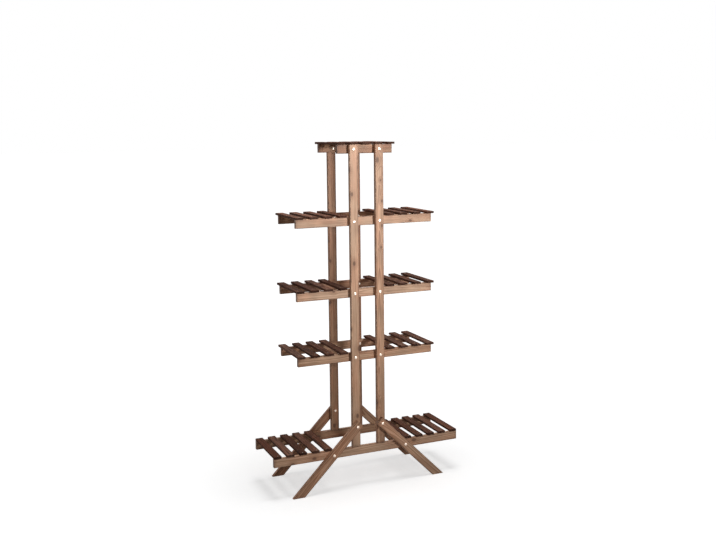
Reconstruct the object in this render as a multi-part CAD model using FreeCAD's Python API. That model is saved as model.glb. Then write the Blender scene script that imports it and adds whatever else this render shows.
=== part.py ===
import FreeCAD, Part
import math
import os

# Five-tier plant stand of stained softwood boards, bolted together.
# Frame: X along the shelves, Y from front (-) to back (+), Z up, in millimetres.
# Origin: on the floor, under the middle of the stand.

os.makedirs("parts", exist_ok=True)

# Overall sizes
stand_height = 1425.0         # floor to the top of the highest slats
stand_depth = 250.0           # outer face to outer face of the uprights, and slat length

# Tiers below the top one: height of the slat tops, from the floor
second_height = 1135.0
third_height = 842.0
fourth_height = 577.0
bottom_height = 182.0

# Rail lengths
top_length = 240.0
middle_length = 600.0
bottom_length = 830.0

# Boards
upright_width = 36.0
upright_thick = 16.0
upright_spacing = 112.0       # centre to centre, along the shelves
rail_width = 36.0             # height of a rail on edge
rail_thick = 16.0
leg_width = 36.0
leg_thick = 16.0
slat_width = 32.0
slat_thick = 9.0
arris = 1.5                   # easing of a frame board's long edges
slat_arris = 1.0

# Slats
top_slats = 5                 # right across the top tier
middle_slats = 4              # on each side of the uprights
bottom_slats = 5              # on each side of the uprights
slat_overhang = 5.0           # past the rail ends, on all tiers but the bottom one
upright_gap = 15.0            # from an upright to the middle tiers' nearest slat
bottom_reach = 250.0          # from a bottom rail's end to its innermost slat's far edge

# Legs
leg_angle = 45.0              # degrees from the floor
leg_bolt_height = 261.0       # of the bolt through leg and upright
leg_end = 18.0                # from that bolt to the leg's square top end

# Bolts with a round bevelled head, and hexagon nuts
bolt_diameter = 6.0
bolt_clearance = 0.25         # all round, between a bolt and its hole in the wood
head_diameter = 12.0
head_height = 2.8
head_bevel = 2.0              # width of the bevel, seen from above
thread_clearance = 0.05       # all round, between a bolt and its nut
nut_width = 10.0              # across flats
nut_height = 5.0
bolt_show = 2.0               # bolt end past the nut

# Places that follow from the sizes above
tiers = [
    {"name": "top", "top": stand_height, "length": top_length},
    {"name": "second", "top": second_height, "length": middle_length},
    {"name": "third", "top": third_height, "length": middle_length},
    {"name": "fourth", "top": fourth_height, "length": middle_length},
    {"name": "bottom", "top": bottom_height, "length": bottom_length},
]
sides = {"left": -1, "right": 1}
faces = {"front": -1, "rear": 1}

outer_y = stand_depth / 2
upright_x = upright_spacing / 2
bolt_hole_radius = bolt_diameter / 2 + bolt_clearance


def rail_outer_y(tier):
    """Distance of a rail's outer face from the middle of the stand.

    The bottom rails lie in the plane of the uprights, which stand on them.
    The other rails lie inside the uprights, against their inner faces.
    """
    return outer_y if tier["name"] == "bottom" else outer_y - upright_thick


def rail_middle_z(tier):
    return tier["top"] - slat_thick - rail_width / 2


bottom_tier = tiers[-1]
crossing_z = rail_middle_z(bottom_tier)
crossing_x = upright_x + (leg_bolt_height - crossing_z) / math.tan(math.radians(leg_angle))


def save(name, shape):
    shape.exportStep("parts/" + name + ".step")


def long_edges(solid, direction):
    """Edges of a solid that run along a direction."""
    found = []
    for edge in solid.Edges:
        along = edge.Vertexes[1].Point - edge.Vertexes[0].Point
        if along.normalize().cross(direction).Length < 1e-6:
            found.append(edge)
    return found


def board(size, centre, along, easing):
    """A straight board with its four long edges eased."""
    blank = Part.makeBox(size.x, size.y, size.z, centre - size * 0.5)
    return blank.makeChamfer(easing, long_edges(blank, along))


def bolt_hole(x, z):
    """A drill through every board on a bolt's axis, which runs from front to back."""
    reach = stand_depth + 4 * leg_thick
    start = FreeCAD.Vector(x, -reach / 2, z)
    return Part.makeCylinder(bolt_hole_radius, reach, start, FreeCAD.Vector(0, 1, 0))


def slat_places(tier):
    """Middles of a tier's slats, along the shelf, from left to right."""
    half = tier["length"] / 2
    if tier["name"] == "top":
        first = half + slat_overhang - slat_width / 2
        pitch = 2 * first / (top_slats - 1)
        return [-first + i * pitch for i in range(top_slats)]
    if tier["name"] == "bottom":
        outermost = half - slat_width / 2
        innermost = half - bottom_reach + slat_width / 2
        count = bottom_slats
    else:
        outermost = half + slat_overhang - slat_width / 2
        innermost = upright_x + upright_width / 2 + upright_gap + slat_width / 2
        count = middle_slats
    pitch = (outermost - innermost) / (count - 1)
    one_side = [outermost - i * pitch for i in range(count)]
    return [-x for x in one_side] + one_side[::-1]


def upright(side, face):
    """An upright, from the bottom rail's top edge to the underside of the top slats."""
    foot = bottom_height - slat_thick
    head = stand_height - slat_thick
    size = FreeCAD.Vector(upright_width, upright_thick, head - foot)
    centre = FreeCAD.Vector(side * upright_x, face * (outer_y - upright_thick / 2), (head + foot) / 2)
    solid = board(size, centre, FreeCAD.Vector(0, 0, 1), arris)
    heights = [rail_middle_z(tier) for tier in tiers[:-1]] + [leg_bolt_height]
    return solid.cut([bolt_hole(side * upright_x, z) for z in heights])


def rail(tier, face):
    """A rail on edge, drilled for its two bolts."""
    size = FreeCAD.Vector(tier["length"], rail_thick, rail_width)
    y = face * (rail_outer_y(tier) - rail_thick / 2)
    solid = board(size, FreeCAD.Vector(0, y, rail_middle_z(tier)), FreeCAD.Vector(1, 0, 0), arris)
    bolt_x = crossing_x if tier["name"] == "bottom" else upright_x
    return solid.cut([bolt_hole(side * bolt_x, rail_middle_z(tier)) for side in sides.values()])


def slat(tier, x):
    """A slat lying flat from front to back, flush with the uprights' outer faces."""
    size = FreeCAD.Vector(slat_width, stand_depth, slat_thick)
    centre = FreeCAD.Vector(x, 0, tier["top"] - slat_thick / 2)
    return board(size, centre, FreeCAD.Vector(0, 1, 0), slat_arris)


def leg(side, face):
    """A splayed leg: square at its top end, sawn level where it stands on the floor."""
    slope = math.radians(leg_angle)
    down = FreeCAD.Vector(side * math.cos(slope), 0, -math.sin(slope))
    across = FreeCAD.Vector(side * math.sin(slope), 0, math.cos(slope))
    inner_y = outer_y if face > 0 else -outer_y - leg_thick
    bolt = FreeCAD.Vector(side * upright_x, inner_y, leg_bolt_height)
    corners = []
    for half in (-leg_width / 2, leg_width / 2):
        edge = bolt + across * half
        corners.append(edge - down * leg_end)
        corners.append(edge + down * (edge.z / math.sin(slope)))
    low_end, low_foot, high_end, high_foot = corners
    outline = Part.makePolygon([low_end, low_foot, high_foot, high_end, low_end])
    blank = Part.Face(outline).extrude(FreeCAD.Vector(0, leg_thick, 0))
    solid = blank.makeChamfer(arris, long_edges(blank, down))
    return solid.cut([bolt_hole(side * upright_x, leg_bolt_height), bolt_hole(side * crossing_x, crossing_z)])


def hexagon(width, height, base_z):
    """A hexagonal prism about Z, given its width across flats."""
    radius = width / math.sqrt(3)
    corners = []
    for i in range(7):
        turn = math.radians(60 * i)
        corners.append(FreeCAD.Vector(radius * math.cos(turn), radius * math.sin(turn), base_z))
    return Part.Face(Part.makePolygon(corners)).extrude(FreeCAD.Vector(0, 0, height))


def bolt(grip):
    """A bolt that points down Z, its head on the wood's face at z = 0, through its grip and nut."""
    radius = bolt_diameter / 2
    rim = head_diameter / 2
    end = -(grip + nut_height + bolt_show)
    profile = [
        (0, end),
        (radius, end),
        (radius, 0),
        (rim, 0),
        (rim - head_bevel, head_height),
        (0, head_height),
        (0, end),
    ]
    section = Part.Face(Part.makePolygon([FreeCAD.Vector(r, 0, z) for r, z in profile]))
    return section.revolve(FreeCAD.Vector(0, 0, 0), FreeCAD.Vector(0, 0, 1), 360)


def nut(grip):
    """A nut against the wood's far face, a grip below z = 0."""
    bore = bolt_diameter / 2 + thread_clearance
    drill = Part.makeCylinder(bore, nut_height, FreeCAD.Vector(0, 0, -grip - nut_height))
    return hexagon(nut_width, nut_height, -grip - nut_height).cut(drill)


def joints():
    """Every bolted joint: the middle of its bolt's head on the wood, its face and the wood it grips."""
    found = []
    for side in sides.values():
        for face in faces.values():
            for tier in tiers[:-1]:
                place = (side * upright_x, face * outer_y, rail_middle_z(tier))
                found.append((place, face, upright_thick + rail_thick))
            leg_face = face * (outer_y + leg_thick)
            found.append(((side * upright_x, leg_face, leg_bolt_height), face, leg_thick + upright_thick))
            found.append(((side * crossing_x, leg_face, crossing_z), face, leg_thick + rail_thick))
    return found


def on_joint(shape, place, face):
    """Turns a fastener made about Z to point into the stand from one of its faces."""
    turn = FreeCAD.Rotation(FreeCAD.Vector(0, 0, 1), FreeCAD.Vector(0, face, 0))
    shape.Placement = FreeCAD.Placement(FreeCAD.Vector(*place), turn)
    return shape


for side_name, side in sides.items():
    for face_name, face in faces.items():
        save("upright_" + face_name + "_" + side_name, upright(side, face))
        save("leg_" + face_name + "_" + side_name, leg(side, face))

for tier in tiers:
    for face_name, face in faces.items():
        save("rail_" + tier["name"] + "_" + face_name, rail(tier, face))
    for number, x in enumerate(slat_places(tier), start=1):
        save("slat_" + tier["name"] + "_" + str(number), slat(tier, x))

save("frame_bolts", Part.makeCompound([on_joint(bolt(grip), place, face) for place, face, grip in joints()]))
save("frame_nuts", Part.makeCompound([on_joint(nut(grip), place, face) for place, face, grip in joints()]))
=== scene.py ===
import bpy
import math
import numpy as np
from mathutils import Matrix, Vector


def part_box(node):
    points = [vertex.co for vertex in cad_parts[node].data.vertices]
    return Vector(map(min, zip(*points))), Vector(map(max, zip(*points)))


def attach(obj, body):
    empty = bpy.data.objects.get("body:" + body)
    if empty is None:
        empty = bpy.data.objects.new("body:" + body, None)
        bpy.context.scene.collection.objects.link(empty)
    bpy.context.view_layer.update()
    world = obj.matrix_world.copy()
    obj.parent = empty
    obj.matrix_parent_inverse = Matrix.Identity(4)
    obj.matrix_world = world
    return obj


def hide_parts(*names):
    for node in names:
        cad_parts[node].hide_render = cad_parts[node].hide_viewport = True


# Looks of a five-tier plant stand of stained softwood boards, bolted together.
# Metres. X along the shelves, Y from front (-) to back (+), Z up, origin on the floor.

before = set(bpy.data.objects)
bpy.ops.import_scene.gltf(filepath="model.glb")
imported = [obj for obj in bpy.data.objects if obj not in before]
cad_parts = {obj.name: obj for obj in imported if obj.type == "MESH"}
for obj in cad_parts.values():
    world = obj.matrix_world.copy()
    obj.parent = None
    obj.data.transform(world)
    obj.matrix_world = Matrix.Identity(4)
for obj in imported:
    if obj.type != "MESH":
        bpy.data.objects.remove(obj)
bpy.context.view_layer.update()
fixed_random = np.random.default_rng(20)
MM = 0.001
X, Y, Z = np.eye(3)

# Boards and bolts, as in the construction
leg_width = 36 * MM
leg_thick = 16 * MM
leg_angle = math.radians(45)                      # from the floor
leg_bolt_height = 261 * MM                        # of the bolt through leg and upright
leg_end = 18 * MM                                 # from that bolt to the leg's square top end
upright_x = 56 * MM                               # middle of an upright
outer_y = 125 * MM                                # outer faces of the uprights
grip = 32 * MM                                    # wood that every bolt passes through
bottom_rail_y = 117 * MM                          # middle of a bottom rail
upper_rail_y = 101 * MM                           # middle of any other rail
rail_line = {
    "top": 1398 * MM,
    "second": 1108 * MM,
    "third": 815 * MM,
    "fourth": 550 * MM,
    "bottom": 155 * MM,
}
crossing_x = upright_x + (leg_bolt_height - rail_line["bottom"]) / math.tan(leg_angle)

# Finish of the boards
frame_easing = 1.5 * MM                           # radius of a frame board's long edges
slat_easing = 1.0 * MM
end_easing = 0.7 * MM                             # round the sawn ends
hollow_depth = 0.3 * MM                           # most that a face is hollowed
hollow_waves = np.array([[21, 0, 0], [47, 0, 150], [5, 130, 0]])       # radians to a metre of s, a and t
ring_spacing = 22 * MM                            # least distance between sections, along a board
char_reach = 12 * MM                              # of the darker wood beside a sawn end
end_charring = 0.6                                # how dark it is there, where an eased corner is 1

# Where in its tree a board's timber grew
heart_along = 50.0                                # most metres along the tree
heart_aside = 30                                  # most mm from the heart, across the board
heart_depth = (14, 48)                            # least and most mm from it, through the board
tree_lean = 0.02                                  # most that the heart strays for a length of 1

# ---------------------------------------------------------------- surfaces


def skin(rings, poles=None):
    """A closed surface over rings of points, shape (rings, points, 3).

    Each ring joins the next one point by point. With two poles, one ahead of the
    first ring and one behind the last, fans close the ends. Without poles the last
    ring joins the first. Faces point outwards where the rings turn anticlockwise, seen
    from the last one's side.
    """
    count, around = rings.shape[:2]
    points = rings.reshape(-1, 3)
    row = np.arange(count if poles is None else count - 1)[:, None]
    here = np.arange(around)
    after = (here + 1) % around
    base, following = row * around, (row + 1) % count * around
    corners = (base + here, base + after, following + after, following + here)
    faces = np.stack(corners, -1).reshape(-1, 4).tolist()
    if poles is not None:
        points = np.vstack([points, poles])
        first_pole, last_pole = np.full((2, around), [[count * around], [count * around + 1]])
        last_ring = (count - 1) * around
        faces += np.stack([first_pole, after, here], -1).tolist()
        faces += np.stack([last_pole, last_ring + here, last_ring + after], -1).tolist()
    return points, faces


def piece(name, points, faces, node, slot, material, normals=None):
    """A smooth mesh object at the origin, which rides on the stand.

    It stands for a node of the construction, where one is named.
    """
    mesh = bpy.data.meshes.new(name)
    mesh.from_pydata(points.tolist(), [], faces)
    mesh.polygons.foreach_set("use_smooth", np.full(len(mesh.polygons), True))
    if normals is not None:
        mesh.normals_split_custom_set_from_vertices(normals.tolist())
    mesh.materials.append(material)
    thing = bpy.data.objects.new(name, mesh)
    bpy.context.scene.collection.objects.link(thing)
    if node:
        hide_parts(node)
    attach(thing, "root")
    return thing


def add_attribute(thing, name, values):
    """Writes one number or one vector for each vertex."""
    kind, key = ("FLOAT_VECTOR", "vector") if values.ndim == 2 else ("FLOAT", "value")
    attribute = thing.data.attributes.new(name, kind, "POINT")
    attribute.data.foreach_set(key, values.astype(np.float32).ravel())


def board_section(width, thick, easing, side_char_and_shade):
    """Outline of a board: a rectangle whose corners are quarter circles of the easing's radius.

    Gives the points (across, through), their outward normals, and how charred each one is:
    1 on an eased corner, fading over the flat beside it, and no less than the stock's side value
    on the two narrow sides, which on the slats is painted shade besides charring.
    """
    corner = np.radians([0, 22.5, 45, 67.5, 90])
    reach = np.array([width, thick]) / 2 - easing
    steps = np.array([0.93, 0.75, 0.4, 0, -0.4, -0.75, -0.93])         # over a flat, as shares of its reach
    fading = np.clip((np.abs(steps) - 0.75) / 0.6, 0, 1)
    points, normals, char_and_shade = [], [], []
    for quarter, sign in enumerate(((1, 1), (-1, 1), (-1, -1), (1, -1))):
        turn = corner + quarter * math.pi / 2
        out = np.stack([np.cos(turn), np.sin(turn)], -1)
        points.append(np.array(sign) * reach + easing * out)
        normals.append(out)
        char_and_shade.append(np.ones(len(turn)))
        axis = quarter % 2                        # direction of the flat that follows this corner
        flat = np.zeros((len(steps), 2))
        flat[:, axis] = steps * reach[axis] * (1 if quarter < 2 else -1)
        flat[:, 1 - axis] = out[-1][1 - axis] * (reach[1 - axis] + easing)
        points.append(flat)
        normals.append(np.repeat(out[-1:], len(steps), 0))
        # On the narrow sides the stock's side value is the least: on the slats, painted shade besides
        # charring.
        char_and_shade.append(np.maximum(fading, side_char_and_shade if axis == 1 else 0))
    return np.vstack(points), np.vstack(normals), np.concatenate(char_and_shade)


def sections_along(length):
    """Where a board's sections lie, from its start to its stop.

    Gives one column each of: share of the length, shift along it, scale, inset of the
    outline, and share of the sawn end's own normal, negative at the start. At each end two
    small sections lie flat on the sawn face, and four follow a quarter circle: at an angle t
    from the long sides, the inset is end_easing*(1 - cos t) and the shift end_easing*(1 - sin t).
    """
    turn = np.radians([90, 60, 30, 0])
    scale = np.array([0.45, 0.85, 1, 1, 1, 1])
    inset = end_easing * np.append([1, 1], 1 - np.cos(turn))
    shift = end_easing * np.append([0, 0], 1 - np.sin(turn))
    facing = np.append([1, 1], np.sin(turn))
    beside = np.array([4, 12]) * MM / length      # two sections close to each end
    evenly = np.linspace(0, 1, max(9, int(length / ring_spacing)))[1:-1]
    middle = np.concatenate([beside, evenly, 1 - beside[::-1]])
    plain = np.zeros(len(middle))
    columns = (
        (np.zeros(len(turn) + 2), middle, np.ones(len(turn) + 2)),
        (shift, plain, -shift[::-1]),
        (scale, plain + 1, scale[::-1]),
        (inset, plain, inset[::-1]),
        (-facing, plain, facing[::-1]),
    )
    return [np.concatenate(column)[:, None] for column in columns]


def board(node, stock, centre, axes, size, start=None, stop=None):
    """A sawn and eased board: its section carried along its length.

    A point is centre + along*s + across*a + out*t, where axes holds the three directions and
    (a, t) runs round the section. An end is sawn square, or on a slant where start or stop
    gives a pair (distance, slope): its sawn face then lies at s = distance + slope*a. The
    faces are hollowed by hollow_depth*(1 - w)/2, where w is the mean of three slow sines of
    s, a and t. Attributes: timber is the point's place in the tree; the charring attribute is 1
    on eased corners and fades from the sawn ends, and on the slats' narrow sides it carries
    painted shade; sawn is 1 on the sawn ends; tone is the board's own shade, for some boards
    partly painted shade.
    """
    tone = tone_of(node)
    length, width, thick = size
    start = start or (-length / 2, 0.0)
    stop = stop or (length / 2, 0.0)
    section, section_normal, section_char_and_shade = board_section(width, thick, stock["easing"], stock["side_char_and_shade"])
    share, shift, scale, inset, facing = sections_along(length)
    lean = np.abs(facing)

    flat = (section - section_normal * inset[..., None]) * scale[..., None]
    s_start = start[0] + start[1] * flat[..., 0]
    s_stop = stop[0] + stop[1] * flat[..., 0]
    s = s_start * (1 - share) + s_stop * share + shift
    phase = fixed_random.uniform(0, 100, 4)[:3]   # the fourth draw is spare
    place = np.concatenate([s[..., None], flat], -1)
    wave = np.sin(place @ hollow_waves.T + phase).mean(-1)
    hollow = hollow_depth * (1 - wave) / 2 * (1 - lean)
    place[..., 1:] -= section_normal * hollow[..., None]

    end_normal = [np.array([1, -slope, 0]) / math.hypot(1, slope) for slope in (start[1], stop[1])]
    side_normal = np.concatenate([np.zeros((len(section), 1)), section_normal], -1)
    facing_end = np.where(facing[..., None] < 0, -end_normal[0], end_normal[1])
    normal = side_normal * np.sqrt(1 - lean ** 2)[..., None] + facing_end * lean[..., None]
    normal /= np.linalg.norm(normal, axis=-1, keepdims=True)

    poles = np.array([[start[0], 0, 0], [stop[0], 0, 0]])
    points, faces = skin(place, poles)
    normals = np.vstack([normal.reshape(-1, 3), -end_normal[0], end_normal[1]])
    thing = piece("board_" + node, points @ axes + centre, faces, node, stock["slot"], stock["material"],
                  normals @ axes)

    heart = np.array([fixed_random.uniform(0, heart_along),
                      fixed_random.uniform(-heart_aside, heart_aside) * MM,
                      fixed_random.choice([-1, 1]) * fixed_random.uniform(*heart_depth) * MM])
    tree = np.eye(3)
    tree[0, 1:] = fixed_random.uniform(-tree_lean, tree_lean, 2)
    # Charring of the eased edges and the rounded ends; on the slats' narrow sides it holds painted shade.
    edge_char_and_shade = np.maximum(section_char_and_shade * (1 - lean), 4 * lean * (1 - lean))
    from_end = np.minimum(share, 1 - share) * length
    end_char = end_charring * np.clip(1 - from_end / char_reach, 0, 1)
    add_attribute(thing, "timber", points @ tree + heart)
    add_attribute(thing, "char_and_shade", np.append(np.maximum(edge_char_and_shade, end_char), [end_charring, end_charring]))
    add_attribute(thing, "sawn", np.append(lean.repeat(len(section), 1), [1, 1]))
    add_attribute(thing, "tone", np.full(len(points), tone))


# ---------------------------------------------------------------- materials


class Nodes:
    """Short ways to add and join the nodes of one material, or of the world."""

    def __init__(self, tree):
        self.tree = tree

    def add(self, kind, settings=None, **inputs):
        node = self.tree.nodes.new(kind)
        for key, value in (settings or {}).items():
            setattr(node, key, value)
        for socket, value in inputs.items():
            self.feed(node, socket, value)
        return node

    def feed(self, node, socket, value):
        """Joins an output to a node's input, or sets the input to a value."""
        if isinstance(value, bpy.types.NodeSocket):
            self.tree.links.new(value, node.inputs[socket])
        else:
            node.inputs[socket].default_value = value

    def math(self, operation, first, second=0.0, third=0.0):
        node = self.add("ShaderNodeMath", {"operation": operation})
        for socket, value in enumerate((first, second, third)):
            self.feed(node, socket, value)
        return node.outputs[0]

    def scaled(self, vector, amounts):
        node = self.add("ShaderNodeVectorMath", {"operation": "MULTIPLY"})
        self.feed(node, 0, vector)
        self.feed(node, 1, amounts)
        return node.outputs[0]

    def length(self, vector):
        node = self.add("ShaderNodeVectorMath", {"operation": "LENGTH"})
        self.feed(node, 0, vector)
        return node.outputs["Value"]

    def noise(self, vector, per_metre, detail=3.0, roughness=0.5):
        node = self.add("ShaderNodeTexNoise", Vector=self.scaled(vector, per_metre), Scale=1.0,
                        Detail=detail, Roughness=roughness)
        return node.outputs["Fac"]

    def between(self, value, low, high, to_low=0.0, to_high=1.0):
        """Goes smoothly from to_low, where the value is low, to to_high, where it is high."""
        node = self.add("ShaderNodeMapRange", {"interpolation_type": "SMOOTHSTEP"}, Value=value)
        limits = {"From Min": low, "From Max": high, "To Min": to_low, "To Max": to_high}
        for socket, number in limits.items():
            self.feed(node, socket, number)
        return node.outputs[0]

    def mix(self, amount, first, second, blend="MIX"):
        """Mixes two colours; 0, 6 and 7 are a colour mix's sockets."""
        node = self.add("ShaderNodeMix", {"data_type": "RGBA", "blend_type": blend})
        for socket, value in ((0, amount), (6, first), (7, second)):
            self.feed(node, socket, value)
        return node.outputs[2]

    def attribute(self, name, output="Fac"):
        return self.add("ShaderNodeAttribute", {"attribute_name": name}).outputs[output]

    def place(self):
        return self.add("ShaderNodeTexCoord").outputs["Object"]

    def rays(self):
        return self.add("ShaderNodeLightPath").outputs

    def relief(self, shader, height, strength, depth):
        bump = self.add("ShaderNodeBump", Strength=strength, Distance=depth, Height=height)
        self.feed(shader, "Normal", bump.outputs[0])


def new_material(name):
    """A new material, its nodes and its shader."""
    material = bpy.data.materials.new(name)
    material.use_nodes = True
    return material, Nodes(material.node_tree), material.node_tree.nodes["Principled BSDF"]


def colour(red, green, blue):
    """A colour written as on a screen, 0 to 255, as the linear numbers that a shader takes."""
    value = np.array([red, green, blue]) / 255
    linear = np.where(value <= 0.04045, value / 12.92, ((value + 0.055) / 1.055) ** 2.4)
    return (*linear.tolist(), 1.0)


# Patterns of the timber: how many to a metre along the board, and both ways across it
knot_cells = (11, 17, 0)
ring_wander = (3.2, 9, 9)
fibre_grain = (9, 900, 900)
dark_streaks = (3.5, 170, 170)
stain_blotches = (9, 26, 26)
red_patches = (6, 22, 22)
char_patches = (40, 60, 60)

ring_width = 0.0029                               # metres of growth in a year
ring_swing = 0.011                                # most that slow noise moves a ring
knot_swing = 0.006                                # most that a knot pushes a ring aside
knotless = 0.74                                   # share of the knot cells that hold no knot
knot_sizes = (0.9, 0.5)                           # range and least of a knot's size
cooler, redder = (0.97, 1.0, 1.0, 1), (1.06, 0.97, 0.93, 1)


def stained_timber(name, early, late, knot, burnt_and_shade, roughness, shine):
    """Flamed and stained softwood.

    Growth rings lie round the heart of the tree, whose axis runs along the board: their phase
    is the distance from it over the ring width, moved by slow noise and by knots, so that
    boards show arched or straight grain and their sawn ends show arcs. Fine fibres, blotches,
    knots, and charred corners and ends come on top, and on the slats' narrow sides painted
    shade. A board's tone scales its colour and also sets a power of it, so that a darker board
    is a redder one too; for some boards the tone is partly painted shade.
    """
    material, n, shader = new_material(name)
    timber = n.attribute("timber", "Vector")
    char_and_shade, sawn, tone = n.attribute("char_and_shade"), n.attribute("sawn"), n.attribute("tone")

    # Knots: a dark spot in some cells of a flat pattern, and the grain that bends round it
    cells = n.add("ShaderNodeTexVoronoi", {"voronoi_dimensions": "2D"}, Vector=n.scaled(timber, knot_cells),
                  Scale=1.0, Randomness=0.9)
    draws = n.add("ShaderNodeSeparateColor", Color=cells.outputs["Color"])
    chosen = n.math("GREATER_THAN", draws.outputs[0], knotless)
    knot_size = n.math("MULTIPLY_ADD", draws.outputs[1], *knot_sizes)
    away = n.math("DIVIDE", cells.outputs["Distance"], knot_size)
    knots = n.math("MULTIPLY", n.between(away, 0.14, 0.06), chosen)
    around_knots = n.math("MULTIPLY", n.between(away, 0.42, 0.08), chosen)

    # Growth rings: each darkens slowly through the year and ends sharply
    from_heart = n.length(n.scaled(timber, (0, 1, 1)))
    drift = n.math("MULTIPLY_ADD", n.noise(timber, ring_wander, 2.0), ring_swing, from_heart)
    drift = n.math("MULTIPLY_ADD", around_knots, knot_swing, drift)
    phase = n.math("FRACT", n.math("DIVIDE", drift, ring_width))
    ring = n.math("MULTIPLY", n.between(phase, 0.35, 0.92), n.between(phase, 1.0, 0.94))

    # Colour: rings and streaks, shaded by blotches, fibres and the board's tone, in which some boards carry
    # painted shade, then knots, charring, and painted shade on the slats' narrow sides
    fibres = n.noise(timber, fibre_grain, 4.0, 0.65)
    streaks = n.noise(timber, dark_streaks, 3.0, 0.6)
    blotches = n.noise(timber, stain_blotches, 3.0, 0.55)
    redness = n.between(n.noise(timber, red_patches, 2.0), 0.36, 0.64)
    wood = n.mix(n.math("MULTIPLY", ring, 0.75), early, late)
    wood = n.mix(n.between(streaks, 0.40, 0.75, 0.0, 0.75), wood, late)
    shade = n.math("MULTIPLY_ADD", n.math("SUBTRACT", blotches, 0.5), 0.7, 1.0)
    shade = n.math("MULTIPLY", shade, n.math("MULTIPLY_ADD", n.math("SUBTRACT", fibres, 0.5), 0.5, 1.0))
    shade = n.math("MULTIPLY", shade, n.math("MULTIPLY_ADD", tone, 0.9, 1.0))
    grey = n.add("ShaderNodeCombineColor", Red=shade, Green=shade, Blue=shade).outputs[0]
    wood = n.mix(1.0, wood, grey, "MULTIPLY")
    wood = n.mix(1.0, wood, n.mix(redness, cooler, redder), "MULTIPLY")
    power = n.math("MULTIPLY_ADD", tone, -0.9, 1.0)
    wood = n.add("ShaderNodeGamma", Color=wood, Gamma=power).outputs[0]
    wood = n.mix(n.math("MULTIPLY", around_knots, 0.45), wood, late)
    wood = n.mix(n.math("MULTIPLY", knots, 0.62), wood, knot)
    uneven = n.between(n.noise(timber, char_patches), 0.35, 0.65, 0.2, 0.75)
    # Charred corners darken towards the burnt colour; on the slats' narrow sides this is painted shade.
    wood = n.mix(n.math("MULTIPLY", char_and_shade, uneven), wood, burnt_and_shade)
    wood = n.mix(n.math("MULTIPLY", sawn, 0.5), wood, burnt_and_shade)
    n.feed(shader, "Base Color", wood)

    # Finish: the late wood of a ring is a little smoother and prouder, and knots lie deeper
    rough = n.math("MULTIPLY_ADD", fibres, 0.25, roughness)
    n.feed(shader, "Roughness", n.math("MULTIPLY_ADD", ring, -0.08, rough))
    n.feed(shader, "Specular IOR Level", shine)
    height = n.math("MULTIPLY_ADD", ring, 0.5, n.math("MULTIPLY", fibres, 0.5))
    height = n.math("MULTIPLY_ADD", knots, -0.4, height)
    n.relief(shader, height, 0.35, 0.4 * MM)
    return material


def zinc_plate(name, pale, dull, roughness):
    """Bright zinc-plated steel: a mirror-like metal with cloudy patches and fine turning marks."""
    material, n, shader = new_material(name)
    place = n.place()
    clouds = n.noise(place, (220, 220, 220))
    marks = n.noise(place, (1500, 1500, 1500), 2.0)
    n.feed(shader, "Base Color", n.mix(n.between(clouds, 0.4, 0.7), pale, dull))
    n.feed(shader, "Metallic", 1.0)
    n.feed(shader, "Roughness", n.math("MULTIPLY_ADD", clouds, 0.25, roughness))
    n.relief(shader, marks, 0.15, 0.1 * MM)
    return material


frame_wood = stained_timber("frame_wood", colour(207, 166, 136), colour(148, 104, 77),
                            colour(62, 38, 26), colour(74, 48, 36), 0.44, 0.25)
# The slats' colours are darker than the frame's, partly painted shade for their tops, which the lamps light
# less.
slat_wood = stained_timber("slat_wood", colour(126, 87, 70), colour(66, 40, 31),
                           colour(34, 20, 16), colour(34, 21, 17), 0.60, 0.04)
bolt_steel = zinc_plate("bolt_steel", colour(240, 222, 207), colour(204, 187, 172), 0.20)
nut_steel = zinc_plate("nut_steel", colour(246, 228, 213), colour(216, 199, 184), 0.30)
nail_steel = zinc_plate("nail_steel", colour(190, 180, 166), colour(128, 116, 102), 0.34)

# ---------------------------------------------------------------- boards

frame_stock = {"slot": "frame_wood", "material": frame_wood, "easing": frame_easing, "side_char_and_shade": 0.0}
# The slats' narrow sides are coloured half dark: painted shade, as their neighbours shadow them, besides
# charring.
slat_stock = {"slot": "slat_wood", "material": slat_wood, "easing": slat_easing, "side_char_and_shade": 0.5}

# Directions of a board's length, width and thickness
lies_along = {"upright": (Z, X, Y), "rail": (X, Z, -Y), "slat": (Y, -X, Z)}

# Boards set lighter (+) or darker (-) than chance makes them. On the top front rail, the rear right upright
# and the darker rear rails this is painted shade, for the shadows of the slats and pots above them and of the
# boards in front.
named_tones_and_shade = {
    "upright_rear_left": 0.08,
    "upright_rear_right": -0.20,
    "rail_top_front": -0.25,
    "rail_top_rear": -0.10,
    "rail_second_rear": -0.08,
    "rail_third_rear": -0.10,
    "rail_fourth_front": -0.06,
    "rail_fourth_rear": 0.05,
    "rail_bottom_front": 0.08,
}
# Painted shade: the boards at the back are coloured darker, where the boards in front shadow them.
rear_painted_shade = 0.11                                 # how much darker the boards at the back are
frame_spread, slat_spread = 0.07, 0.16            # of the tones that come by chance


def tone_of(node):
    """How much lighter than the mean a board is: by chance, darker at the back as painted shade, and as set
    where named, which for some boards is painted shade.
    """
    spread = slat_spread if node.startswith("slat_") else frame_spread
    back = rear_painted_shade if "_rear" in node else 0
    return spread * fixed_random.uniform(-1, 1) - back + named_tones_and_shade.get(node, 0.0)


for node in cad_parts:
    kind = node.split("_")[0]
    if kind in lies_along:
        low, high = [np.array(corner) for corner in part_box(node)]
        axes = np.array(lies_along[kind])
        stock = slat_stock if kind == "slat" else frame_stock
        board(node, stock, (low + high) / 2, axes, np.abs(axes) @ (high - low))

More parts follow.
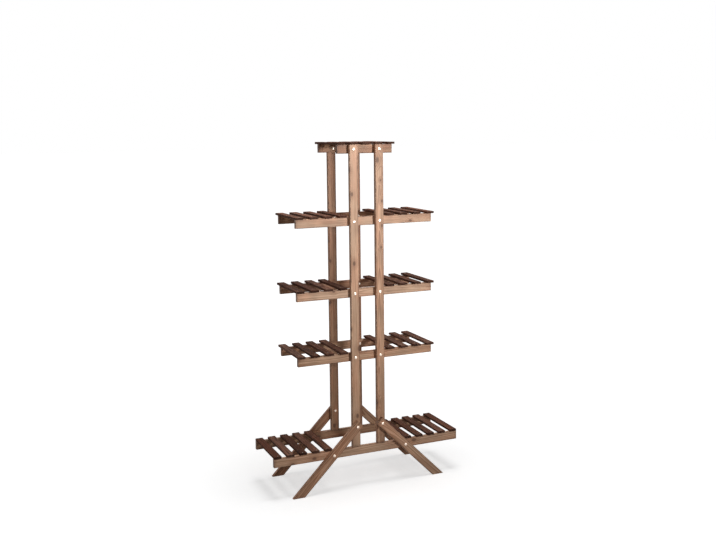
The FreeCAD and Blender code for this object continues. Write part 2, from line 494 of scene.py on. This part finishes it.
leg_reach = leg_bolt_height / math.sin(leg_angle) # from a leg's bolt to the floor, along the leg
for side_name, side in (("left", -1), ("right", 1)):
    for face_name, face in (("front", -1), ("rear", 1)):
        down = np.array([side * math.cos(leg_angle), 0, -math.sin(leg_angle)])
        across = np.array([side * math.sin(leg_angle), 0, math.cos(leg_angle)])
        axes = np.array([down, across, np.cross(down, across)])
        leg_bolt = np.array([side * upright_x, face * (outer_y + leg_thick / 2), leg_bolt_height])
        board("leg_" + face_name + "_" + side_name, frame_stock, leg_bolt, axes,
              (leg_reach + leg_end, leg_width, leg_thick),
              start=(-leg_end, 0.0), stop=(leg_reach, 1 / math.tan(leg_angle)))

# ---------------------------------------------------------------- bolts, nuts and nails

most_spin = 6.28                                  # radians, once round


def once_round(columns):
    """Angles of a ring's points."""
    return np.arange(columns) * 2 * math.pi / columns


def turned(reach, height, columns):
    """Rings round Z, in mm: a point is (reach*cos t, reach*sin t, height) for each angle t."""
    angle = once_round(columns)
    reach = np.broadcast_to(reach, (len(height), columns)) * MM
    height = np.repeat(height * MM, columns, 1)
    return np.stack([reach * np.cos(angle), reach * np.sin(angle), height], -1)


def hexagon(apothem, angle):
    """Radius of a hexagon at an angle: the apothem over the cosine of the angle from the nearest flat."""
    return apothem / np.cos((angle + math.pi / 6) % (math.pi / 3) - math.pi / 6)


def copies(shape, places):
    """The shape's points and faces, once at each place (where, axis, spin).

    It turns by the spin about its own Z, and then that Z is laid along the place's axis.
    """
    points, faces = shape
    all_points, all_faces = [], []
    for number, (where, axis, spin) in enumerate(places):
        first = np.cross(axis, [0.3, 0.2, 0.9])   # square to the axis
        first /= np.linalg.norm(first)
        second = np.cross(axis, first)
        cos, sin = math.cos(spin), math.sin(spin)
        turn = np.array([[cos, sin, 0], [-sin, cos, 0], [0, 0, 1]])
        all_points.append(points @ turn @ np.array([first, second, axis]) + where)
        all_faces += [[corner + number * len(points) for corner in face] for face in faces]
    return np.vstack(all_points), all_faces


# Every bolted joint: the middle of its bolt's head on the wood, and its face of the stand
joints = []
for side in (-1, 1):
    for face in (-1, 1):
        for tier in ("top", "second", "third", "fourth"):
            joints.append((side * upright_x, face * outer_y, rail_line[tier], face))
        leg_face = face * (outer_y + leg_thick)
        joints.append((side * upright_x, leg_face, leg_bolt_height, face))
        joints.append((side * crossing_x, leg_face, rail_line["bottom"], face))

# A bolt from its end to its head and down into its socket, in mm: radius, height from the
# wood's face, and the kind of ring. The head is part of an ellipse.
ROUND, THREAD, SOCKET = range(3)
bolt_end = -39.0
thread_start = bolt_end + 0.4
thread_depth, thread_pitch = 0.55, 1.0
dome = np.radians([12, 26, 40, 54, 68, 80])
bolt_rings = [(2.3, bolt_end, ROUND)]
bolt_rings += [(3.0, thread_start + k / 6, THREAD) for k in range(20)]
bolt_rings += [(3.0, -35.2, ROUND), (3.0, 0.02, ROUND)]
bolt_rings += [(5.7, 0.02, ROUND), (5.95, 0.15, ROUND), (6.0, 0.5, ROUND)]
bolt_rings += [(2.9 + 3.1 * math.cos(t), 0.5 + 2.25 * math.sin(t), ROUND) for t in dome]
bolt_rings += [(2.75, 2.78, ROUND), (2.15, 2.74, SOCKET), (2.0, 2.6, SOCKET), (2.0, 1.0, SOCKET)]
bolt_rings += [(0.9, 0.85, ROUND)]
bolt_poles = np.array([[0, 0, bolt_end], [0, 0, 0.8]]) * MM


def bolt_reach(radius, height, kind, angle):
    """Round, but a thread's radius falls in zigzags that climb a pitch a turn, and a socket is a hexagon."""
    zigzag = np.abs(((height - angle / (2 * math.pi)) % thread_pitch) * 2 - 1)
    threaded = radius - thread_depth * zigzag
    return np.where(kind == THREAD, threaded, np.where(kind == SOCKET, hexagon(radius, angle), radius))


bolt_columns = 24
radius, height, kind = np.array(bolt_rings).T[..., None]
rings = turned(bolt_reach(radius, height, kind, once_round(bolt_columns)), height, bolt_columns)
spins = fixed_random.uniform(0, most_spin, len(joints))
places = [((x, y, z), (0, face, 0), spin) for (x, y, z, face), spin in zip(joints, spins)]
piece("bolts", *copies(skin(rings, bolt_poles), places), "frame_bolts", "bright_steel", bolt_steel)

# A nut up its outside and down its bore, in mm: radius and height from the wood. Its hexagon is
# cut at each end by a cone: the smaller of the hexagon's and the ring's own radius.
nut_apothem = 5.0
nut_rings = [(3.05, 0), (4.75, 0), (5.1, 0.2), (5.8, 0.62), (5.8, 4.38), (5.1, 4.8), (4.75, 5.0),
             (3.35, 5.0), (3.05, 4.7), (3.05, 0.3)]
nut_columns = 48
radius, height = np.array(nut_rings).T[..., None]
rings = turned(np.minimum(hexagon(nut_apothem, once_round(nut_columns)), radius), height, nut_columns)
spins = fixed_random.uniform(0, most_spin, len(joints))
places = [((x, y - face * grip, z), (0, -face, 0), spin) for (x, y, z, face), spin in zip(joints, spins)]
piece("nuts", *copies(skin(rings), places), "frame_nuts", "bright_steel", nut_steel)

# A nail from its point to its head, in mm: radius and height from the slat's top
nail_rings = [(0.75, -18), (0.75, -0.9), (1.7, -0.1), (1.75, 0.05), (1.2, 0.22)]
nail_poles = np.array([[0, 0, -20], [0, 0, 0.27]]) * MM
stray_x, stray_y = 7, 2                           # mm that a nail may lie off the middle of its rail
nail_columns = 12
radius, height = np.array(nail_rings).T[..., None]
places = []
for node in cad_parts:
    if node.startswith("slat_"):
        low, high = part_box(node)
        rail_y = bottom_rail_y if "_bottom_" in node else upper_rail_y
        for face in (-1, 1):
            x = (low.x + high.x) / 2 + fixed_random.uniform(-stray_x, stray_x) * MM
            y = face * (rail_y + fixed_random.uniform(-stray_y, stray_y) * MM)
            places.append(((x, y, high.z), (0, 0, 1), fixed_random.uniform(0, most_spin)))
nail = skin(turned(radius, height, nail_columns), nail_poles)
piece("slat_nails", *copies(nail, places), None, "bright_steel", nail_steel)

# ---------------------------------------------------------------- floor, light and camera

floor_reach = 60.0                                # from the stand's middle to the floor's edges
white = (1, 1, 1, 1)
floor_pale = (0.9, 0.9, 0.9, 1)                   # to the camera
floor_grey = (0.5, 0.5, 0.5, 1)                   # to the light that it throws back on the stand
floor_glow = 0.615                                # of the floor near the stand, where the shadow lies
glow_start, glow_full = 0.45, 2.2                 # metres from the stand's middle, over which it turns white
world_light = 0.12                                # of the surroundings on the stand


def in_view(n, rays):
    """An output that is 1 for what the camera sees, itself or in metal or glass, and otherwise 0."""
    seen = n.math("MAXIMUM", rays["Is Camera Ray"], rays["Is Glossy Ray"])
    return n.math("MAXIMUM", seen, rays["Is Transmission Ray"])


def floor_paint():
    """A pale floor that keeps the shadow, and shows white to the camera and in the metal."""
    material, n, shader = new_material("floor_paint")
    n.tree.nodes.remove(shader)
    rays = n.rays()
    pale = n.mix(rays["Is Camera Ray"], floor_grey, floor_pale)
    paint = n.add("ShaderNodeBsdfDiffuse", Color=pale)
    glow = n.between(n.length(n.place()), glow_start, glow_full, floor_glow, 1.0)
    lift = n.add("ShaderNodeEmission", Color=white, Strength=n.math("MULTIPLY", in_view(n, rays), glow))
    both = n.add("ShaderNodeAddShader")
    n.feed(both, 0, paint.outputs[0])
    n.feed(both, 1, lift.outputs[0])
    n.feed(n.tree.nodes["Material Output"], "Surface", both.outputs[0])
    return material


mesh = bpy.data.meshes.new("floor")
corners = [(x * floor_reach, y * floor_reach, 0) for x, y in ((-1, -1), (1, -1), (1, 1), (-1, 1))]
mesh.from_pydata(corners, [], [(0, 1, 2, 3)])
mesh.materials.append(floor_paint())
floor = bpy.data.objects.new("floor", mesh)
bpy.context.scene.collection.objects.link(floor)

world = bpy.data.worlds.new("studio")
bpy.context.scene.world = world
world.use_nodes = True
n = Nodes(world.node_tree)
background = world.node_tree.nodes["Background"]
n.feed(background, "Strength", n.between(in_view(n, n.rays()), 0.0, 1.0, world_light, 1.0))
n.feed(background, "Color", white)

floor_left_out = bpy.data.collections.new("floor_left_out")
floor_left_out.objects.link(floor)
floor_left_out.collection_objects[0].light_linking.link_state = "EXCLUDE"


def softbox(name, place, aim, size, watts, spread=180, tint=(1, 1, 1), on_floor=False, in_metal=False):
    """A square lamp at a place that faces a point. The metal mirrors it only where in_metal says so."""
    lamp = bpy.data.lights.new(name, "AREA")
    lamp.shape = "SQUARE"
    lamp.size = size
    lamp.energy = watts
    lamp.spread = math.radians(spread)
    lamp.color = tint
    thing = bpy.data.objects.new(name, lamp)
    thing.location = place
    thing.rotation_euler = (Vector(aim) - Vector(place)).to_track_quat("-Z", "Y").to_euler()
    thing.visible_glossy = in_metal
    if not on_floor:
        thing.light_linking.receiver_collection = floor_left_out
    bpy.context.scene.collection.objects.link(thing)


softbox("overhead", (0.05, -0.15, 3.0), (0, 0, 0), 1.1, 36, on_floor=True, in_metal=True)
softbox("key", (0.95, -2.35, 1.25), (0, 0, 1.6), 0.45, 15.5, spread=90, tint=(0.96, 1.0, 1.03), in_metal=True)
softbox("behind", (0.2, 3.0, 1.1), (0, 0, 0.8), 1.2, 36)
softbox("left", (-3.0, 0.2, 0.8), (0, 0, 0.7), 1.2, 8)
softbox("right", (3.0, 0.2, 0.8), (0, 0, 0.7), 1.2, 8)

# The photograph's viewpoint, in metres and radians, and its lens in pixels
picture_width, picture_height = 716, 540
viewpoint = (-1.4969, -3.4695, 1.4795)
yaw, pitch, roll = 0.4106, 0.1250, -0.0103
focal = 912.4
middle_row = 243.0                                # of the picture, where the lens points

camera = bpy.data.cameras.new("camera")
camera.sensor_width = 36.0
camera.lens = focal / picture_width * camera.sensor_width
camera.shift_y = (middle_row - picture_height / 2) / picture_width
forward = Vector((math.sin(yaw) * math.cos(pitch), math.cos(yaw) * math.cos(pitch), -math.sin(pitch)))
level_right = Vector((math.cos(yaw), -math.sin(yaw), 0))
level_up = level_right.cross(forward)
right = level_right * math.cos(roll) + level_up * math.sin(roll)
up = level_up * math.cos(roll) - level_right * math.sin(roll)
eye = bpy.data.objects.new("camera", camera)
eye.matrix_world = Matrix((right, up, -forward)).transposed().to_4x4()
eye.location = viewpoint
bpy.context.scene.collection.objects.link(eye)
bpy.context.scene.camera = eye
bpy.context.scene.view_settings.view_transform = "Standard"
